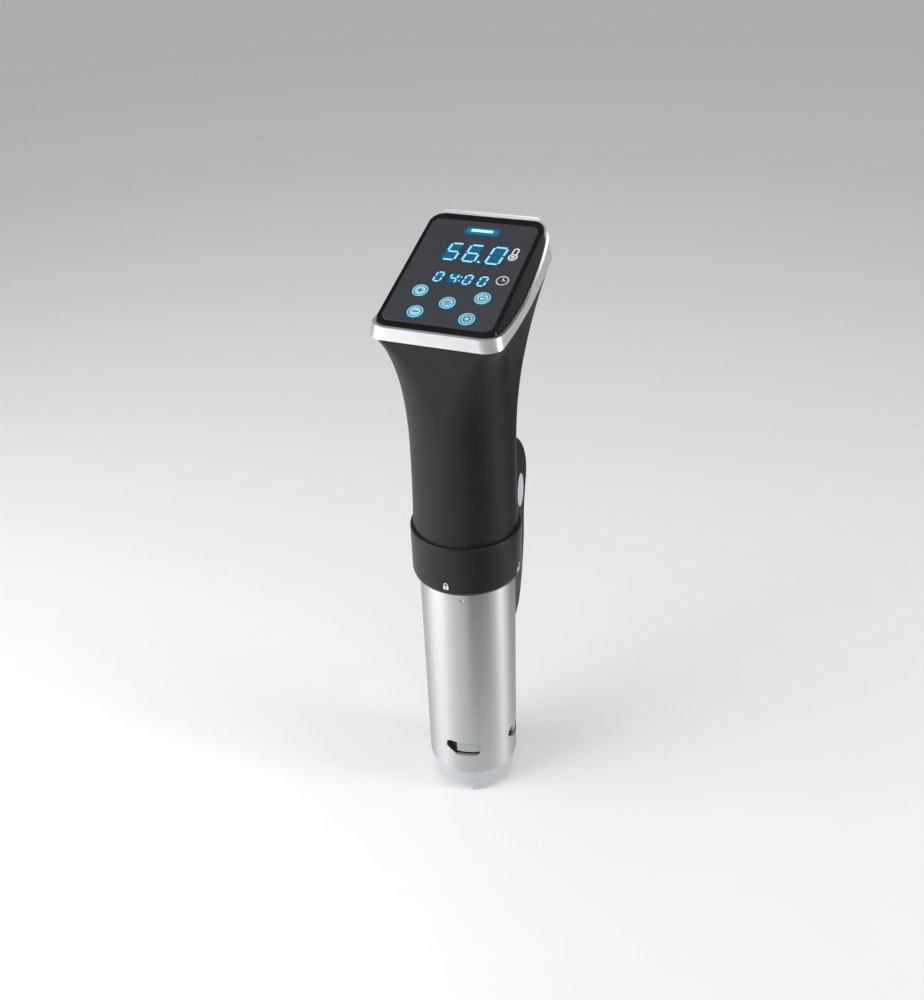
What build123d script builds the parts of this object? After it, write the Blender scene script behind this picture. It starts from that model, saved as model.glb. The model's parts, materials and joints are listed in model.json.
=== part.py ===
from build123d import *
import math
import os

# Sous vide circulator. Millimetres. +Z runs up the steel sleeve's axis, the front
# faces -Y and the clamp is at +Y. The origin is on the axis, in the plane of the feet.

# ---- driving sizes ----
sleeve_d = 60.0
sleeve_wall = 0.6
foot_h = 5.0
cap_h = 15.0
sleeve_visible = 153.7
collar_h = 36.3
collar_wall = 3.75
waist_r = 31.0
handle_base_r = 32.0
shell_wall = 2.4
head_w = 76.6
head_l = 90.6
head_tilt = 21.7
panel_w = 63.3
panel_l = 83.2
rim_wall = 1.4
lever_w = 28.0
lever_open_deg = 16.0
pin_r = 2.0
motor_r = 18.0
motor_h = 32.0
shaft_r = 3.0
heater_tube_r = 3.3
impeller_r = 21.0
cord_hole_r = 3.6

# ---- clearances ----
turn_gap = 0.35
run_fit = 0.06
snug = 0.1
loose = 0.2

# ---- derived heights and radii ----
sleeve_r = sleeve_d / 2
sleeve_in = sleeve_r - sleeve_wall
z_steel = foot_h + cap_h
z_collar = z_steel + sleeve_visible
z_handle = z_collar + collar_h
collar_bore = sleeve_r + turn_gap
collar_r = collar_bore + collar_wall
web_t = 4.0
z_web = z_handle - web_t
z_sleeve_top = z_web - 0.4
upstand_h = 16.0
z_mount = z_handle + upstand_h
upstand_r = 28.9
seam_y = 3.5
pivot_y = 52.0
pivot_z = 196.0
slot_z0 = z_steel + 15.5
slot_z1 = z_steel + 27.0
slot_deg = 46.0
slot_first_deg = 8.6

os.makedirs("parts", exist_ok=True)


def save(piece, label):
    """Names the finished piece and writes its STEP file."""
    piece.part.label = label
    export_step(piece.part, f"parts/{label}.step")


def around(angle_deg, radius):
    """A point at this radius, its angle counted from the front (-Y) toward +X."""
    a = math.radians(angle_deg)
    return (radius * math.sin(a), -radius * math.cos(a))


def tube(outer, inner, z0, z1):
    """A plain ring about the axis, added to the part being built."""
    with BuildSketch(Plane.XY.offset(z0)) as ring:
        Circle(outer)
        Circle(inner, mode=Mode.SUBTRACT)
    extrude(ring.sketch, amount=z1 - z0)


def rod(radius, z0, z1, x=0.0, y=0.0, mode=Mode.ADD):
    """A plain round bar parallel to the axis."""
    with BuildSketch(Plane.XY.offset(z0)) as disc:
        with Locations((x, y)):
            Circle(radius)
    extrude(disc.sketch, amount=z1 - z0, mode=mode)


def rod_y(radius, y0, y1, x, z, mode=Mode.ADD):
    """A plain round bar that runs from y0 back to y1."""
    with BuildSketch(Plane(origin=(x, y0, z), x_dir=(1, 0, 0), z_dir=(0, 1, 0))) as disc:
        Circle(radius)
    extrude(disc.sketch, amount=y1 - y0, mode=mode)


def tilted(y, z, degrees):
    """A plane through (0, y, z) whose front edge is the lower one."""
    a = math.radians(degrees)
    return Plane(origin=(0, y, z), x_dir=(1, 0, 0), z_dir=(0, -math.sin(a), math.cos(a)))


# =====================================================================
# Steel sleeve: open tube with four flow slots and a pressed mark.
# =====================================================================
mark_deg = 15.0
mark_z = z_steel + 147.0
with BuildPart() as sleeve:
    tube(sleeve_r, sleeve_in, z_steel, z_sleeve_top)
    slot_mid = (slot_z0 + slot_z1) / 2
    slot_h = slot_z1 - slot_z0
    slot_w = 2 * sleeve_r * math.sin(math.radians(slot_deg / 2))
    for i in range(4):
        turn = slot_first_deg + 90 * i
        out = around(turn, 1.0)
        wall = Plane(
            origin=(out[0] * 10, out[1] * 10, slot_mid),
            x_dir=(-out[1], out[0], 0),
            z_dir=(out[0], out[1], 0),
        )
        with BuildSketch(wall):
            RectangleRounded(slot_w, slot_h, 4.0)
            with BuildLine():
                Polyline(
                    (-slot_w / 2 - 1, -slot_h / 2 - 1),
                    (-slot_w / 2 + 9.0, -slot_h / 2 - 1),
                    (-slot_w / 2 - 1, slot_h / 2 - 5.0),
                    close=True,
                )
            make_face(mode=Mode.SUBTRACT)
        extrude(amount=30, mode=Mode.SUBTRACT)
    mx, my = around(mark_deg, sleeve_r + 1.9)
    with Locations((mx, my, mark_z)):
        Sphere(2.25, mode=Mode.SUBTRACT)
save(sleeve, "sleeve")

# =====================================================================
# Bottom cap: milky moulding with three feet and an inlet grille.
# =====================================================================
skirt_r = sleeve_in - snug
skirt_wall = 1.6
skirt_top = slot_z1 + 5.0
foot_deg = (30.0, 150.0, 270.0)
with BuildPart() as bottom_cap:
    with BuildSketch(Plane.XZ):
        with BuildLine():
            Polyline(
                (0, foot_h),
                (25.0, foot_h),
            )
            RadiusArc((25.0, foot_h), (27.8, foot_h + 2.6), -2.8)
            Polyline(
                (27.8, foot_h + 2.6),
                (sleeve_r - 0.3, z_steel - 1.2),
                (sleeve_r - 0.3, z_steel),
                (skirt_r - skirt_wall, z_steel),
                (skirt_r - skirt_wall, z_steel - 2),
                (25.6, foot_h + 3.4),
                (24.4, foot_h + 2.2),
                (0, foot_h + 2.2),
                (0, foot_h),
            )
        make_face()
    revolve(axis=Axis.Z)
    with BuildSketch(Plane.XY.offset(foot_h)):
        for k in range(12):
            gx, gy = around(15 + 30 * k, 17.5)
            with Locations(Location((gx, gy, 0), (0, 0, 105 + 30 * k))):
                SlotOverall(9.0, 3.0)
    extrude(amount=6, mode=Mode.SUBTRACT)
    for deg in foot_deg:
        fx, fy = around(deg, 24.6)
        with BuildSketch(Plane.XY):
            with Locations(Location((fx, fy, 0), (0, 0, deg))):
                RectangleRounded(11.0, 4.2, 1.2)
        extrude(amount=foot_h + 1.0)
    rod(7.0, 0, foot_h + 2.2)
save(bottom_cap, "bottom_cap")

# Clear inlet ring: it stands on the cap inside the sleeve and half closes each slot.
window_w = 7.0
strip_h = 3.3
with BuildPart() as inlet_ring:
    tube(skirt_r, skirt_r - skirt_wall, z_steel, skirt_top)
    for i in range(4):
        out = around(slot_first_deg + 90 * i, 1.0)
        wall = Plane(
            origin=(out[0] * 10, out[1] * 10, slot_mid),
            x_dir=(-out[1], out[0], 0),
            z_dir=(out[0], out[1], 0),
        )
        with BuildSketch(wall):
            with Locations((-slot_w / 2 + window_w / 2 + 0.6, 0)):
                Rectangle(window_w, slot_h + 1.0)
            with Locations((0, -slot_h / 2 + strip_h / 2)):
                Rectangle(slot_w - 1.2, strip_h)
        extrude(amount=24, mode=Mode.SUBTRACT)
save(inlet_ring, "inlet_ring")

# =====================================================================
# Collar: the fixed black ring with the two clamp ears.
# =====================================================================
z_brow = z_handle - 3.2
ear_in = 6.0
ear_out = 10.0
ear_r = 6.0
web_in = 20.0
bulk_screw_r = 22.6
with BuildPart() as collar:
    with BuildSketch(Plane.XZ):
        with BuildLine():
            Polyline(
                (collar_bore, z_collar),
                (collar_r - 0.6, z_collar),
                (collar_r, z_collar + 1.8),
                (collar_r, z_brow - 1.3),
                (collar_r - 0.15, z_brow - 0.75),
                (collar_r - 0.5, z_brow - 0.3),
                (collar_r - 1.1, z_brow),
                (handle_base_r, z_brow),
                (handle_base_r, z_handle),
                (upstand_r, z_handle),
                (upstand_r, z_mount),
                (upstand_r - 2.6, z_mount),
                (upstand_r - 2.6, z_handle),
                (web_in, z_handle),
                (web_in, z_web),
                (collar_bore, z_web),
                (collar_bore, z_collar),
            )
        make_face()
    revolve(axis=Axis.Z)
    for side in (-1, 1):
        x0 = ear_in if side > 0 else -ear_out
        with BuildSketch(Plane.YZ.offset(x0)):
            with BuildLine():
                Polyline(
                    (collar_r - 2.2, pivot_z - 14),
                    (pivot_y + 1.5, pivot_z - ear_r + 0.2),
                    (pivot_y + 1.5, pivot_z + ear_r - 0.2),
                    (collar_r - 2.2, z_handle - 4.5),
                    close=True,
                )
            make_face()
            with Locations((pivot_y, pivot_z)):
                Circle(ear_r)
        extrude(amount=ear_out - ear_in)
    with BuildSketch(Plane.YZ.offset(-lever_w / 2)):
        with Locations((pivot_y, pivot_z)):
            Circle(pin_r + run_fit)
    extrude(amount=lever_w, mode=Mode.SUBTRACT)
    for k in range(3):
        sx, sy = around(0 + 120 * k, bulk_screw_r)
        rod(1.6, z_web - 1, z_handle + 1, sx, sy, mode=Mode.SUBTRACT)
    for side in (-1, 1):
        rod_y(1.8, 20, 36, side * 12.0, z_handle + 9, mode=Mode.SUBTRACT)
        rod_y(1.3, -36, -20, side * 12.0, z_handle + 9, mode=Mode.SUBTRACT)
save(collar, "collar")

# =====================================================================
# Bulkhead and what it carries into the water.
# =====================================================================
bulk_r = 28.6
neck_r = 25.0
z_bulk = z_web - 20.0
gasket_t = 0.8
z_bulk_top = z_web - gasket_t
heat_x = 11.5
heat_y = 11.5
z_term = z_handle + 5.0
tube_r = 6.0
probe_at = around(180, 15.5)
level_at = (around(90, 17.5), around(270, 17.5))
with BuildPart() as bulkhead:
    rod(bulk_r, z_bulk, z_bulk + 3.4)
    rod(neck_r, z_bulk + 3.4, z_bulk_top)
    rod(tube_r + snug, z_bulk - 1, z_bulk + 12, mode=Mode.SUBTRACT)
    rod(5.0, z_bulk, z_web, mode=Mode.SUBTRACT)
    for x in (-heat_x, heat_x):
        for y in (-heat_y, heat_y):
            rod(heater_tube_r + snug, z_bulk - 1, z_web, x, y, mode=Mode.SUBTRACT)
    rod(2.5 + snug, z_bulk - 1, z_web, *probe_at, mode=Mode.SUBTRACT)
    for p in level_at:
        rod(1.5 + snug, z_bulk - 1, z_web, *p, mode=Mode.SUBTRACT)
    for k in range(3):
        sx, sy = around(120 * k, bulk_screw_r)
        rod(1.3, z_web - 11, z_web, sx, sy, mode=Mode.SUBTRACT)
save(bulkhead, "bulkhead")

with BuildPart() as bulkhead_gasket:
    tube(neck_r - 0.4, web_in + 0.4, z_bulk_top, z_web)
    for k in range(3):
        sx, sy = around(120 * k, bulk_screw_r)
        rod(1.7, z_bulk_top - 1, z_web + 1, sx, sy, mode=Mode.SUBTRACT)
save(bulkhead_gasket, "bulkhead_gasket")

with BuildPart() as bulkhead_screws:
    for k in range(3):
        sx, sy = around(120 * k, bulk_screw_r)
        rod(1.25, z_web - 8, z_handle + 0.1, sx, sy)
        rod(2.8, z_handle, z_handle + 2.0, sx, sy)
        rod(1.0, z_handle + 1.1, z_handle + 3, sx, sy, mode=Mode.SUBTRACT)
save(bulkhead_screws, "bulkhead_screws")

with BuildPart() as bayonet_ring:
    tube(sleeve_in - 0.5, neck_r + 0.4, z_bulk + 3.8, z_web - 0.4)
    seal_z = (z_bulk + z_web) / 2
    tube_cut = 1.7
    with BuildSketch(Plane.XZ):
        with Locations((sleeve_in - 0.5, seal_z)):
            Rectangle(2 * tube_cut, 3.4)
    revolve(axis=Axis.Z, mode=Mode.SUBTRACT)
    for k in range(3):
        nx, ny = around(60 + 120 * k, neck_r + 3.4)
        with Locations(Location((nx, ny, z_bulk + 4.8), (0, 0, 60 + 120 * k))):
            Box(7.0, 3.0, 3.0, mode=Mode.SUBTRACT)
save(bayonet_ring, "bayonet_ring")

with BuildPart() as sleeve_seal:
    with BuildSketch(Plane.XZ):
        with Locations((sleeve_in - 0.5 - tube_cut + 1.58, seal_z)):
            Circle(1.55)
        with Locations((sleeve_in + 1.0, seal_z)):
            Rectangle(2.0 + 2 * 0.05, 4.0, mode=Mode.SUBTRACT)
    revolve(axis=Axis.Z)
save(sleeve_seal, "sleeve_seal")

with BuildPart() as shaft_tube:
    tube(tube_r, 5.0, 54, z_bulk + 12)
save(shaft_tube, "shaft_tube")

with BuildPart() as lower_bush:
    tube(5.0 - 0.02, shaft_r + run_fit, 54.5, 64)
save(lower_bush, "lower_bush")

with BuildPart() as upper_bush:
    tube(5.0 - 0.02, shaft_r + run_fit, z_bulk + 4, z_bulk + 11.5)
save(upper_bush, "upper_bush")

with BuildPart() as shaft_seal:
    tube(5.0 - 0.02, shaft_r + run_fit, z_bulk + 13, z_web - 1)
save(shaft_seal, "shaft_seal")

heat_low = 70.0
with BuildPart() as heater_element:
    for y in (-heat_y, heat_y):
        with BuildLine() as hairpin:
            Line((-heat_x, y, z_term), (-heat_x, y, heat_low + heat_x))
            ThreePointArc(
                (-heat_x, y, heat_low + heat_x),
                (0, y, heat_low),
                (heat_x, y, heat_low + heat_x),
            )
            Line((heat_x, y, heat_low + heat_x), (heat_x, y, z_term))
        with BuildSketch(Plane(origin=(-heat_x, y, z_term), z_dir=(0, 0, -1))):
            Circle(heater_tube_r)
        sweep(path=hairpin.line)
save(heater_element, "heater_element")

with BuildPart() as heater_terminals:
    for x in (-heat_x, heat_x):
        for y in (-heat_y, heat_y):
            rod(2.2, z_term + 0.01, z_term + 1.8, x, y)
            with Locations((x, y, z_term + 4.6)):
                Box(0.8, 4.8, 5.8)
save(heater_terminals, "heater_terminals")

with BuildPart() as temp_probe:
    rod(2.5, 96, z_term - 2, *probe_at)
    fillet(temp_probe.edges().sort_by(Axis.Z)[0], 2.2)
    rod(3.4, z_web + 0.6, z_web + 3.2, *probe_at)
save(temp_probe, "temp_probe")

with BuildPart() as level_probes:
    for n, p in enumerate(level_at):
        rod(1.5, (110, 150)[n], z_term - 3, *p)
save(level_probes, "level_probes")

with BuildPart() as thermal_cutout:
    with Locations((0, -heat_y, z_web + 7.5)):
        Box(16.0, 6.4, 5.0)
    fillet(thermal_cutout.edges().filter_by(Axis.Z), 1.2)
save(thermal_cutout, "thermal_cutout")

# =====================================================================
# Drive line: motor, coupling, shaft and impeller.
# =====================================================================
z_motor = z_mount + 2.5
with BuildPart() as motor_mount:
    rod(upstand_r, z_mount, z_motor)
    rod(9.0 + snug, z_mount - 1, z_motor + 1, mode=Mode.SUBTRACT)
    for k in range(4):
        wx, wy = around(45 + 90 * k, 23.0)
        rod(3.2, z_mount - 1, z_motor + 1, wx, wy, mode=Mode.SUBTRACT)
    for side in (-1, 1):
        rod(1.6, z_mount - 1, z_motor + 1, side * 13.5, 0, mode=Mode.SUBTRACT)
        rod(1.6, z_mount - 1, z_motor + 1, 0, side * 26.3, mode=Mode.SUBTRACT)
save(motor_mount, "motor_mount")

with BuildPart() as motor:
    rod(motor_r, z_motor, z_motor + motor_h)
    fillet(motor.edges().sort_by(Axis.Z)[-1], 1.5)
    rod(9.0, z_mount + 0.2, z_motor)
    rod(7.0, z_motor + motor_h, z_motor + motor_h + 2.5)
    rod(2.0 + run_fit, z_mount, z_motor + motor_h - 4, mode=Mode.SUBTRACT)
    for side in (-1, 1):
        rod(1.3, z_motor, z_motor + 7, side * 13.5, 0, mode=Mode.SUBTRACT)
save(motor, "motor")

with BuildPart() as motor_screws:
    for side in (-1, 1):
        rod(2.6, z_mount - 1.8, z_mount, side * 13.5, 0)
        rod(1.25, z_mount - 0.1, z_motor + 6, side * 13.5, 0)
        rod(1.0, z_mount - 2, z_mount - 1.0, side * 13.5, 0, mode=Mode.SUBTRACT)
save(motor_screws, "motor_screws")

coupling_z0 = z_handle + 3.0
coupling_z1 = z_mount - 2.5
with BuildPart() as motor_shaft:
    rod(2.0, coupling_z1 - 6, z_motor + motor_h - 6)
save(motor_shaft, "motor_shaft")

with BuildPart() as shaft_coupling:
    rod(7.0, coupling_z0, coupling_z1)
    rod(2.0, coupling_z1 - 6, coupling_z1, mode=Mode.SUBTRACT)
    rod(shaft_r, coupling_z0, coupling_z0 + 4, mode=Mode.SUBTRACT)
    with BuildSketch(Plane.XY.offset((coupling_z0 + coupling_z1) / 2 - 0.6)):
        Circle(8)
        Circle(5.6, mode=Mode.SUBTRACT)
    extrude(amount=1.2, mode=Mode.SUBTRACT)
save(shaft_coupling, "shaft_coupling")

z_imp = z_steel + 12.0
imp_h = 12.0
with BuildPart() as drive_shaft:
    rod(shaft_r, z_imp + 2.5, coupling_z0 + 4)
save(drive_shaft, "drive_shaft")

with BuildPart() as impeller:
    rod(impeller_r, z_imp, z_imp + 1.6)
    rod(6.5, z_imp, z_imp + imp_h)
    for k in range(8):
        bx, by = around(45 * k, (impeller_r + 5) / 2)
        with Locations(Location((bx, by, z_imp + imp_h / 2), (0, 0, 45 * k + 90 - 28))):
            Box(impeller_r - 6.5, 1.5, imp_h)
    rod(shaft_r, z_imp + 2.5, z_imp + imp_h + 1, mode=Mode.SUBTRACT)
save(impeller, "impeller")

# =====================================================================
# Handle shells: a round waist flaring to a tilted rounded rectangle.
# =====================================================================
flare_from = 0.3
low_tilt = 15.9
head_y = 6.5
corner_share = 0.235
sections = 12
handle_run = 140.0


def handle_section(u, inset):
    """Plane and size of the handle at u, from 0 at the collar to 1 at the rim."""
    s = max(0.0, (u - flare_from) / (1 - flare_from))
    foot = (handle_base_r - waist_r) * max(0.0, 1 - u / 0.34) ** 2
    hx = waist_r + foot + (head_w / 2 - waist_r) * s**2.8
    hy = waist_r + foot + (head_l / 2 - waist_r) * s**3.0
    r = hx * (0.99 - (0.99 - corner_share) * s**2.4)
    where = tilted(head_y * s**3.5, z_handle + handle_run * u, low_tilt * s**1.8)
    return where, 2 * (hx - inset), 2 * (hy - inset), max(r - inset, 1.0)


def handle_solid(inset):
    """The handle's flaring body, every section pulled in by the inset."""
    with BuildPart() as body:
        for k in range(sections + 1):
            where, w, d, r = handle_section(min(k / (sections - 1), 1.0), inset)
            if k == sections:
                where = where.offset(8.0)
            with BuildSketch(where):
                RectangleRounded(w, d, r)
        loft()
    return body.part


panel = tilted(6.1, z_steel + 341.8, head_tilt)


def under_curve(points):
    """Everything below a smooth side profile, as a solid across the head."""
    first, last = points[0], points[-1]
    with BuildPart() as under:
        with BuildSketch(Plane.YZ.offset(-60)):
            with BuildLine():
                Spline(*points)
                Polyline(last, (last[0], 150), (first[0], 150), first)
            make_face()
        extrude(amount=120)
    return under.part


def arc_below(y0, z0, y1, z1, sag):
    """Everything below a shallow hollow arc that runs on past both its ends."""
    dy, dz = y1 - y0, z1 - z0
    run = math.hypot(dy, dz)
    mid = ((y0 + y1) / 2 + sag * dz / run, (z0 + z1) / 2 - sag * dy / run)
    before = (y0 - 0.25 * dy, z0 - 0.25 * dz + sag * 0.9)
    after = (y1 + 0.25 * dy, z1 + 0.25 * dz + sag * 0.9)
    return under_curve((before, (y0, z0), mid, (y1, z1), after))


def from_panel(v, h):
    """Side view: v along the panel toward its back edge, h above its face."""
    a = math.radians(head_tilt)
    y = 6.1 + v * math.cos(a) - h * math.sin(a)
    return (y, z_steel + 341.8 + v * math.sin(a) + h * math.cos(a))


# the band's lower and upper edges, seen from the side
low_front = (-38.6, z_steel + 317.0)
low_back = (51.6, z_steel + 342.8)
low_sag = 4.0
top_dip = 10.7

under_rim = arc_below(*low_front, *low_back, low_sag)
under_shell = arc_below(
    low_front[0], low_front[1] - loose, low_back[0], low_back[1] - loose, low_sag
)
top_edge = (
    from_panel(-54.0, 0.8),
    from_panel(-46.2, -0.5),
    from_panel(-34.0, -0.44 * top_dip),
    from_panel(-23.0, -0.7 * top_dip),
    from_panel(-9.7, -0.92 * top_dip),
    from_panel(4.7, -top_dip),
    from_panel(17.7, -0.94 * top_dip),
    from_panel(29.7, -0.78 * top_dip),
    from_panel(39.0, -0.52 * top_dip),
    from_panel(44.5, -0.25 * top_dip),
    from_panel(48.0, -0.3),
    from_panel(56.0, 0.6),
)
over_top = under_curve(top_edge)

boss_at = ((23.0, z_handle + 34), (21.0, z_handle + 88))
post_at = ((14.0, z_handle + 66), (14.0, z_handle + 106))
board_y = -2.0
handle_outer = handle_solid(0.0)
handle_inner = handle_solid(shell_wall)
z_gland = z_handle + 94.0
gland_y = 33.6

with BuildPart() as shell_whole:
    add(handle_outer)
    add(handle_inner, mode=Mode.SUBTRACT)
    add(under_shell, mode=Mode.INTERSECT)

# bosses and posts stop halfway through the wall, so none shows outside
boss_limit = handle_solid(shell_wall / 2)
with BuildPart() as front_bosses:
    for x, z in boss_at:
        for side in (-1, 1):
            rod_y(3.4, -34, seam_y, side * x, z)
    for x, z in post_at:
        for side in (-1, 1):
            rod_y(2.8, -34, board_y, side * x, z)
    add(boss_limit, mode=Mode.INTERSECT)

with BuildPart() as rear_bosses:
    for x, z in boss_at:
        for side in (-1, 1):
            rod_y(4.2, seam_y, 34, side * x, z)
    add(boss_limit, mode=Mode.INTERSECT)

with BuildPart() as front_shell:
    add(shell_whole.part)
    add(front_bosses.part)
    split(bisect_by=Plane(origin=(0, seam_y - 0.1, 0), z_dir=(0, 1, 0)), keep=Keep.BOTTOM)
    for x, z in boss_at:
        for side in (-1, 1):
            rod_y(1.3, seam_y - 12, seam_y + 1, side * x, z, mode=Mode.SUBTRACT)
    for x, z in post_at:
        for side in (-1, 1):
            rod_y(1.1, board_y - 8, board_y + 1, side * x, z, mode=Mode.SUBTRACT)
save(front_shell, "front_shell")

screw_head_y = 17.0
with BuildPart() as rear_shell:
    add(shell_whole.part)
    add(rear_bosses.part)
    split(bisect_by=Plane(origin=(0, seam_y + 0.1, 0), z_dir=(0, 1, 0)), keep=Keep.TOP)
    for x, z in boss_at:
        for side in (-1, 1):
            rod_y(1.7, seam_y - 1, 40, side * x, z, mode=Mode.SUBTRACT)
            rod_y(3.0, screw_head_y, 42, side * x, z, mode=Mode.SUBTRACT)
    rod_y(5.6, 24, 50, 0, z_gland, mode=Mode.SUBTRACT)
    for side in (-1, 1):
        rod_y(1.8, 24, 40, side * 12.0, z_handle + 9, mode=Mode.SUBTRACT)
        rod_y(3.0, 29.0, 40, side * 12.0, z_handle + 9, mode=Mode.SUBTRACT)
save(rear_shell, "rear_shell")

with BuildPart() as shell_screws:
    for x, z in boss_at:
        for side in (-1, 1):
            rod_y(1.25, seam_y - 9, screw_head_y + 0.1, side * x, z)
            rod_y(2.8, screw_head_y, screw_head_y + 2.2, side * x, z)
            rod_y(1.0, screw_head_y + 1.2, screw_head_y + 3, side * x, z, mode=Mode.SUBTRACT)
save(shell_screws, "shell_screws")

# The gland is the cord's inlet: a rubber bushing through the rear shell.
with BuildPart() as cord_gland:
    rod_y(5.4, gland_y - 5.5, gland_y + 3.0, 0, z_gland)
    rod_y(7.6, gland_y + 1.4, gland_y + 6.5, 0, z_gland)
    fillet(cord_gland.edges().filter_by(GeomType.CIRCLE).sort_by(Axis.Y)[-1], 1.6)
    rod_y(7.0, gland_y - 7.0, gland_y - 4.6, 0, z_gland)
    rod_y(cord_hole_r, gland_y - 8, gland_y + 8, 0, z_gland, mode=Mode.SUBTRACT)
save(cord_gland, "cord_gland")

# =====================================================================
# Head: metal rim, display housing and lens.
# =====================================================================
rim_over = 6.0


def rim_solid():
    """The rim's flaring block, from under the head to just above the panel."""
    with BuildPart() as block:
        with BuildSketch(tilted(6.5, z_steel + 320.0, 16.0)):
            RectangleRounded(head_w + 3.0, head_l + 5.0, 8.8)
        with BuildSketch(panel.offset(rim_over) * Pos(0, 3.2, 0)):
            RectangleRounded(house_w + 2 * rim_wall - 1.2, house_l + 2 * rim_wall + 1.1, 10.6)
        loft(ruled=True)
    return block.part


def house_solid(grow):
    """The display housing's block: narrow at the panel, as wide as the rim below."""
    with BuildPart() as block:
        with BuildSketch(tilted(6.5, z_steel + 320.0, 16.0)):
            RectangleRounded(house_low_w + 2 * grow, house_low_l + 2 * grow, 8.0 + grow)
        with BuildSketch(panel * Pos(0, 0.85, 0)):
            RectangleRounded(house_w + 2 * grow, house_l + 2 * grow, 8.2 + grow)
        loft(ruled=True)
    return block.part


house_w = 68.0
house_l = 92.4
house_low_w = head_w + 3.0 - 2.6
house_low_l = head_l + 5.0 - 2.8
with BuildPart() as head_rim:
    add(rim_solid())
    add(house_solid(snug), mode=Mode.SUBTRACT)
    add(under_rim, mode=Mode.SUBTRACT)
    add(over_top, mode=Mode.INTERSECT)
save(head_rim, "head_rim")

house_top = 0.5
lens_t = 1.6
board_top = -8.3
board_t = 1.6
post_x = 26.0
post_v = 34.0
digits_x = 2.5
digits_v = 7.0
digits_w = 46.0
digits_h = 37.0
bar_v = 33.8
bar_w = 14.0
bar_h = 2.6
pad_r = 5.2
pad_at = ((-18.0, -17.7), (18.0, -17.7), (-14.8, -33.8), (14.8, -33.8), (0.5, -24.6))
with BuildPart() as house_cavity:
    add(house_solid(-2.0))
    with BuildSketch(panel.offset(-lens_t - 2.5)):
        Rectangle(200, 200)
    extrude(amount=110, mode=Mode.SUBTRACT)

with BuildPart() as display_housing:
    add(house_solid(0.0))
    with BuildSketch(panel.offset(-house_top)):
        Rectangle(200, 200)
    extrude(amount=90, mode=Mode.SUBTRACT)
    add(house_cavity.part, mode=Mode.SUBTRACT)
    for x in (-post_x, post_x):
        for v in (-post_v, post_v):
            with BuildSketch(panel.offset(board_top)):
                with Locations((x, v)):
                    Circle(2.8)
            extrude(amount=-board_top - 3.0)
    add(under_rim, mode=Mode.SUBTRACT)
    with BuildSketch(panel.offset(-lens_t)):
        RectangleRounded(panel_w + 2 * snug, panel_l + 2 * snug, 5.1)
    extrude(amount=5, mode=Mode.SUBTRACT)
    with BuildSketch(panel.offset(-6)):
        with Locations((digits_x, digits_v)):
            Rectangle(digits_w + 1.0, digits_h + 1.0)
        with Locations((0, bar_v)):
            Rectangle(bar_w + 0.6, bar_h + 0.6)
        with Locations(*pad_at):
            Circle(pad_r + 0.3)
    extrude(amount=6, mode=Mode.SUBTRACT)
    for x in (-post_x, post_x):
        for v in (-post_v, post_v):
            with BuildSketch(panel.offset(board_top - 1)):
                with Locations((x, v)):
                    Circle(1.1)
            extrude(amount=5.5, mode=Mode.SUBTRACT)
save(display_housing, "display_housing")

# =====================================================================
# What sits inside the head: lens, board, digits, touch pads, light bar.
# =====================================================================
with BuildPart() as display_lens:
    with BuildSketch(panel.offset(-lens_t)):
        RectangleRounded(panel_w, panel_l, 5.0)
    extrude(amount=lens_t)
    chamfer(display_lens.faces().sort_by(Axis.Z)[-1].edges(), 0.3)
save(display_lens, "display_lens")

with BuildPart() as display_board:
    with BuildSketch(panel.offset(board_top - board_t)):
        RectangleRounded(60.0, 75.0, 3.0)
        with Locations((-post_x, -post_v), (-post_x, post_v), (post_x, -post_v), (post_x, post_v)):
            Circle(1.6, mode=Mode.SUBTRACT)
    extrude(amount=board_t - 0.02)
save(display_board, "display_board")

with BuildPart() as display_screws:
    for x in (-post_x, post_x):
        for v in (-post_v, post_v):
            with BuildSketch(panel.offset(board_top - board_t - 1.8)):
                with Locations((x, v)):
                    Circle(2.4)
            extrude(amount=1.78)
            with BuildSketch(panel.offset(board_top - board_t - 0.1)):
                with Locations((x, v)):
                    Circle(1.05)
            extrude(amount=4.6)
save(display_screws, "display_screws")

with BuildPart() as digit_module:
    with BuildSketch(panel.offset(board_top)):
        with Locations((digits_x, digits_v)):
            Rectangle(digits_w, digits_h)
    extrude(amount=-board_top - lens_t - 0.2)
save(digit_module, "digit_module")

with BuildPart() as light_bar:
    with BuildSketch(panel.offset(board_top)):
        with Locations((0, bar_v)):
            SlotOverall(bar_w, bar_h)
    extrude(amount=-board_top - lens_t - 0.2)
save(light_bar, "light_bar")

with BuildPart() as touch_pads:
    with BuildSketch(panel.offset(board_top)):
        with Locations(*pad_at):
            Circle(pad_r)
            Circle(pad_r - 1.4, mode=Mode.SUBTRACT)
    extrude(amount=-board_top - lens_t - 0.2)
    with BuildSketch(panel.offset(board_top)):
        with Locations(*pad_at):
            Circle(pad_r - 1.0)
    extrude(amount=1.2)
save(touch_pads, "touch_pads")

with BuildPart() as buzzer:
    with BuildSketch(panel.offset(board_top - board_t - 5.0)):
        with Locations((-14, 20)):
            Circle(6.0)
    extrude(amount=4.98)
    with BuildSketch(panel.offset(board_top - board_t - 5.0)):
        with Locations((-14, 20)):
            Circle(1.2)
    extrude(amount=1.5, mode=Mode.SUBTRACT)
save(buzzer, "buzzer")

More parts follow.
